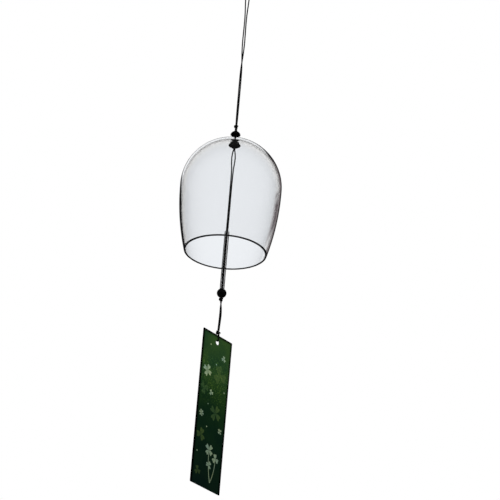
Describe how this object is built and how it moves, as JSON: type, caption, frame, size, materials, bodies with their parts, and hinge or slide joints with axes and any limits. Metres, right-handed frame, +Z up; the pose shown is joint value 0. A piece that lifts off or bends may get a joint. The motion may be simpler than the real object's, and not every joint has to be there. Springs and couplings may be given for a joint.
{
  "type": "glass wind bell",
  "caption": "Clear glass wind bell on a looped black cord, with a glass tube clapper that swings inside, a bead under it and a long card that catches the wind.",
  "frame": {"origin": "where the hook carries the cord's loop", "axes": "+Z up along the hanging cord; the card's front faces -Y and its width runs along X"},
  "size_m": [0.08, 0.08, 0.4451],
  "materials": {
    "black_cord": "twisted synthetic cord, slightly shiny",
    "black_rubber": "matt moulded rubber",
    "clear_glass": "blown clear glass, polished by fire",
    "black_bead": "glossy black",
    "card": "printed dark green card"
  },
  "bodies": {
    "hanger": {"hanger_cord": "black_cord"},
    "top_knot": {"top_knot": "black_cord"},
    "stack": {"core_cord": "black_cord", "cap": "black_rubber", "outer_washer": "black_rubber", "inner_washer": "black_rubber"},
    "bell": {"glass_bell": "clear_glass"},
    "inner_knot": {"inner_knot": "black_cord"},
    "clapper": {"clapper_cord": "black_cord"},
    "bead": {"bead": "black_bead"},
    "tube": {"clapper_tube": "clear_glass"},
    "bead_knot": {"bead_knot": "black_cord"},
    "tail": {"tail_cord": "black_cord"},
    "card_knot": {"card_knot": "black_cord"},
    "card_loop": {"card_loop": "black_cord"},
    "card": {"tanzaku": "card"}
  },
  "joints": [
    {"name": "bell_nod", "type": "hinge", "parent": "hanger", "child": "top_knot", "pos_m": [0, 0, -0.14], "axis": [1, 0, 0], "range_deg": [-25, 25]},
    {"name": "bell_sway", "type": "hinge", "parent": "top_knot", "child": "stack", "pos_m": [0, 0, -0.14], "axis": [0, 1, 0], "range_deg": [-25, 25]},
    {"name": "bell_spin", "type": "hinge", "parent": "stack", "child": "bell", "pos_m": [0, 0, -0.15823], "axis": [0, 0, 1], "continuous": true},
    {"name": "clapper_turn", "type": "hinge", "parent": "stack", "child": "inner_knot", "pos_m": [0, 0, -0.15823], "axis": [0, 0, 1], "continuous": true},
    {"name": "clapper_swing", "type": "hinge", "parent": "inner_knot", "child": "clapper", "pos_m": [0, 0, -0.15823], "axis": [1, 0, 0], "range_deg": [-15.5, 15.5]},
    {"name": "bead_slide", "type": "slide", "parent": "clapper", "child": "bead", "axis": [0, 0, 1], "range_m": [0, 0.02]},
    {"name": "tube_slide", "type": "slide", "parent": "bead", "child": "tube", "axis": [0, 0, 1], "range_m": [0, 0.03]},
    {"name": "tail_nod", "type": "hinge", "parent": "clapper", "child": "bead_knot", "pos_m": [0, 0, -0.28983], "axis": [1, 0, 0], "range_deg": [-40, 40]},
    {"name": "tail_sway", "type": "hinge", "parent": "bead_knot", "child": "tail", "pos_m": [0, 0, -0.28983], "axis": [0, 1, 0], "range_deg": [-40, 40]},
    {"name": "card_turn", "type": "hinge", "parent": "tail", "child": "card_knot", "pos_m": [0, 0, -0.31813], "axis": [0, 0, 1], "continuous": true},
    {"name": "card_flap", "type": "hinge", "parent": "card_knot", "child": "card_loop", "pos_m": [0, 0, -0.31813], "axis": [1, 0, 0], "range_deg": [-30, 30]},
    {"name": "card_sway", "type": "hinge", "parent": "card_loop", "child": "card", "pos_m": [0, 0, -0.32603], "axis": [0, 1, 0], "range_deg": [-15, 15]}
  ]
}
